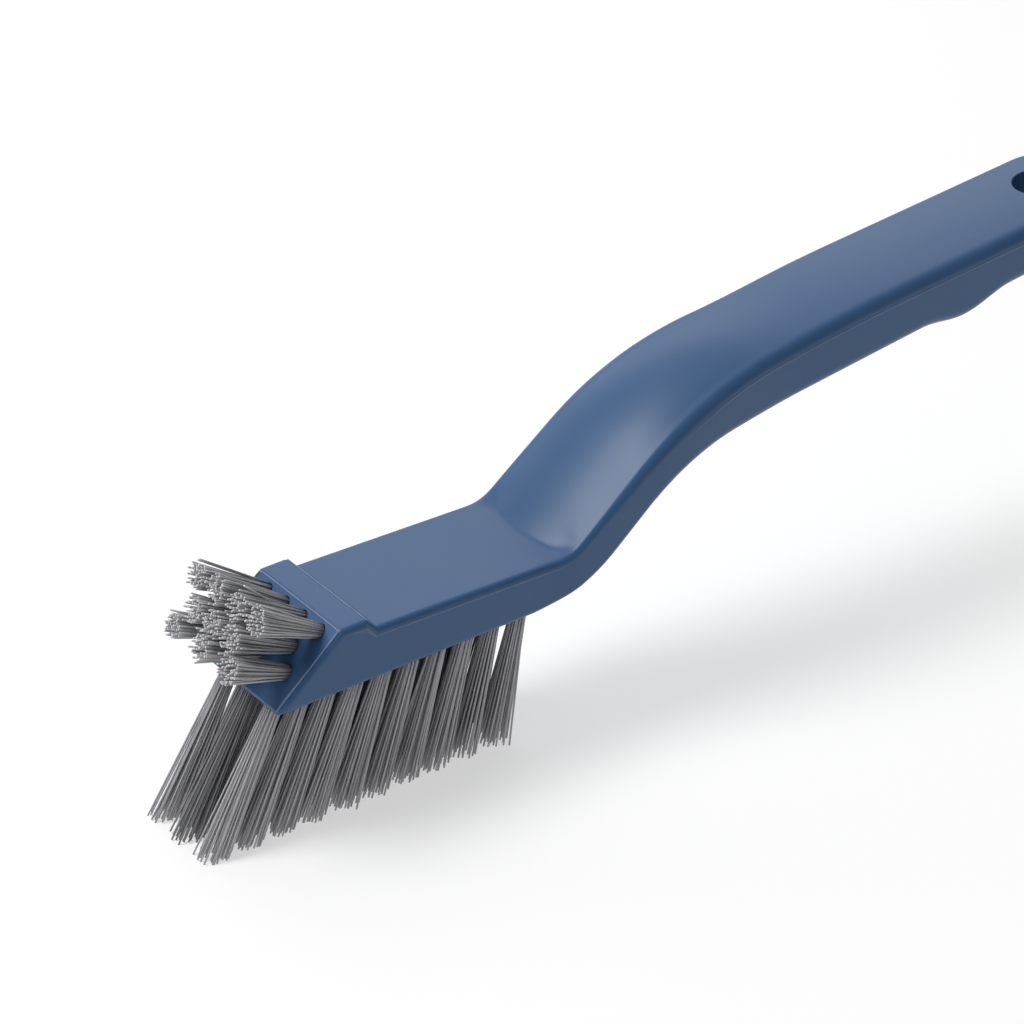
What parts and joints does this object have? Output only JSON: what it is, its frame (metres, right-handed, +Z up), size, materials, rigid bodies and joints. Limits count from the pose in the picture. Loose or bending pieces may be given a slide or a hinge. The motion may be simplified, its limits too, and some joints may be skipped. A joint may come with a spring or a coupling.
{
  "type": "grout brush",
  "caption": "Hand brush for grout lines: bent plastic handle with a hanging hole, bristle tufts under a narrow head and on its slanted nose.",
  "frame": {"origin": "on the surface that the bristle tips stand on, under the middle of the whole brush", "axes": "+X along the brush from its nose to the end of its grip, +Y across the brush, +Z up from the bristle tips to the handle"},
  "size_m": [0.2002, 0.0256, 0.0662],
  "materials": {
    "handle_plastic": "satin moulded polypropylene",
    "bristle": "grey nylon filament",
    "anchor_metal": "plain anchor strip"
  },
  "bodies": {
    "root": {"handle": "handle_plastic", "base_tuft_anchors": "anchor_metal", "front_tuft_anchors": "anchor_metal", "base_tuft_near_1": "bristle", "base_tuft_near_2": "bristle", "base_tuft_near_3": "bristle", "base_tuft_near_4": "bristle", "base_tuft_near_5": "bristle", "base_tuft_near_6": "bristle", "base_tuft_near_7": "bristle", "base_tuft_near_8": "bristle", "base_tuft_near_9": "bristle", "base_tuft_near_10": "bristle", "base_tuft_middle_1": "bristle", "base_tuft_middle_2": "bristle", "base_tuft_middle_3": "bristle", "base_tuft_middle_4": "bristle", "base_tuft_middle_5": "bristle", "base_tuft_middle_6": "bristle", "base_tuft_middle_7": "bristle", "base_tuft_middle_8": "bristle", "base_tuft_middle_9": "bristle", "base_tuft_middle_10": "bristle", "base_tuft_far_1": "bristle", "base_tuft_far_2": "bristle", "base_tuft_far_3": "bristle", "base_tuft_far_4": "bristle", "base_tuft_far_5": "bristle", "base_tuft_far_6": "bristle", "base_tuft_far_7": "bristle", "base_tuft_far_8": "bristle", "base_tuft_far_9": "bristle", "base_tuft_far_10": "bristle", "front_tuft_top_1": "bristle", "front_tuft_top_2": "bristle", "front_tuft_top_3": "bristle", "front_tuft_top_4": "bristle", "front_tuft_centre_1": "bristle", "front_tuft_centre_2": "bristle", "front_tuft_centre_3": "bristle", "front_tuft_low_1": "bristle", "front_tuft_low_2": "bristle", "front_tuft_low_3": "bristle"}
  },
  "joints": []
}
